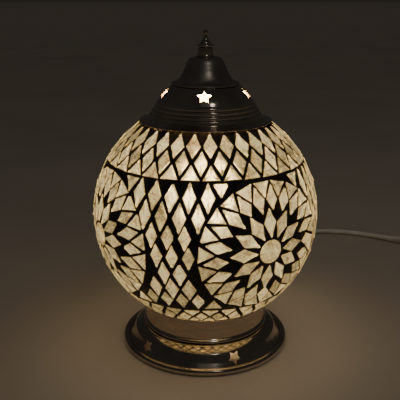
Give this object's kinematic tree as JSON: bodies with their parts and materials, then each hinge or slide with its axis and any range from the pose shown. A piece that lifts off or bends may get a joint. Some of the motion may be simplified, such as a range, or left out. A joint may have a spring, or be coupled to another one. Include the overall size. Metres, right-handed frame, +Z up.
{
  "type": "mosaic table lamp",
  "caption": "Table lamp with a glass mosaic globe, a lift-off turned metal cap, a pierced metal base and a bulb inside",
  "frame": {"origin": "On the table, under the middle of the globe", "axes": "+Z up, the front of the lamp faces -Y, the cord leaves at the back towards +Y"},
  "size_m": [0.4443, 0.3846, 0.2841],
  "materials": {
    "dark_metal": "polished, darkened bronze",
    "zinc_steel": "zinc plated",
    "brass": "plain brass",
    "nickel": "nickel plated",
    "phenolic": "moulded phenolic",
    "porcelain": "glazed ceramic",
    "black_glass": "vitrified insulator",
    "brown_wire": "insulated wire",
    "blue_wire": "insulated wire",
    "white_cord": "smooth flexible sheath",
    "white_plastic": "moulded",
    "black_tie": "moulded",
    "plaster": "set plaster, matt",
    "globe_glass": "blown glass",
    "grout": "black tile paste",
    "tile_glass": "seeded cream glass, hand cut",
    "bulb_glass": "frosted",
    "filament": "phosphor coated"
  },
  "bodies": {
    "lamp": {"base_flange": "dark_metal", "base_collar": "dark_metal", "bridge_bar": "zinc_steel", "threaded_tube": "brass", "tube_nuts": "zinc_steel", "lock_washer": "zinc_steel", "holder_dome": "phenolic", "holder_core": "porcelain", "holder_shell": "phenolic", "centre_contact": "brass", "side_contact": "brass", "terminal_screws": "brass", "wire_live": "brown_wire", "wire_neutral": "blue_wire", "inner_lead": "white_cord", "cord_bush": "white_cord", "bedding_ring": "plaster", "glass_globe": "globe_glass", "grout": "grout", "top_diamonds": "tile_glass", "top_triangles": "tile_glass", "lattice_tiles": "tile_glass", "rosette_discs": "tile_glass", "rosette_inner": "tile_glass", "rosette_middle": "tile_glass", "rosette_outer": "tile_glass", "bottom_triangles": "tile_glass", "bottom_diamonds": "tile_glass", "cord_lead": "white_cord", "cord_link": "white_cord", "cord_tail": "white_cord", "cord_coil": "white_cord", "coil_tie": "black_tie", "switch_base": "white_plastic", "switch_cover": "white_plastic", "switch_contacts": "brass", "switch_screws": "zinc_steel", "plug_body": "white_plastic", "plug_pins": "nickel", "plug_sleeves": "black_tie"},
    "cap": {"cap_dome": "dark_metal", "cap_bell": "dark_metal", "cap_neck": "dark_metal", "cap_rod": "zinc_steel", "cap_nut": "zinc_steel", "cap_washer": "zinc_steel"},
    "finial": {"finial": "dark_metal"},
    "bulb": {"bulb_glass": "bulb_glass", "bulb_shell": "nickel", "bulb_insulator": "black_glass", "bulb_tip": "nickel", "bulb_stem": "bulb_glass", "bulb_filaments": "filament"},
    "rocker": {"switch_rocker": "white_plastic"}
  },
  "joints": [
    {"name": "cap_lift", "type": "slide", "parent": "lamp", "child": "cap", "axis": [0, 0, 1], "range_m": [0, 0.08]},
    {"name": "finial_turn", "type": "hinge", "parent": "cap", "child": "finial", "pos_m": [0, 0, 0.2716], "axis": [0, 0, 1], "continuous": true},
    {"name": "bulb_removal", "type": "slide", "parent": "lamp", "child": "bulb", "axis": [0, 0, 1], "range_m": [0, 0.03]},
    {"name": "switch_press", "type": "hinge", "parent": "lamp", "child": "rocker", "pos_m": [0.291, 0.206, 0.0125], "axis": [0.7071, 0.7071, 0], "range_deg": [-18, 0]}
  ]
}
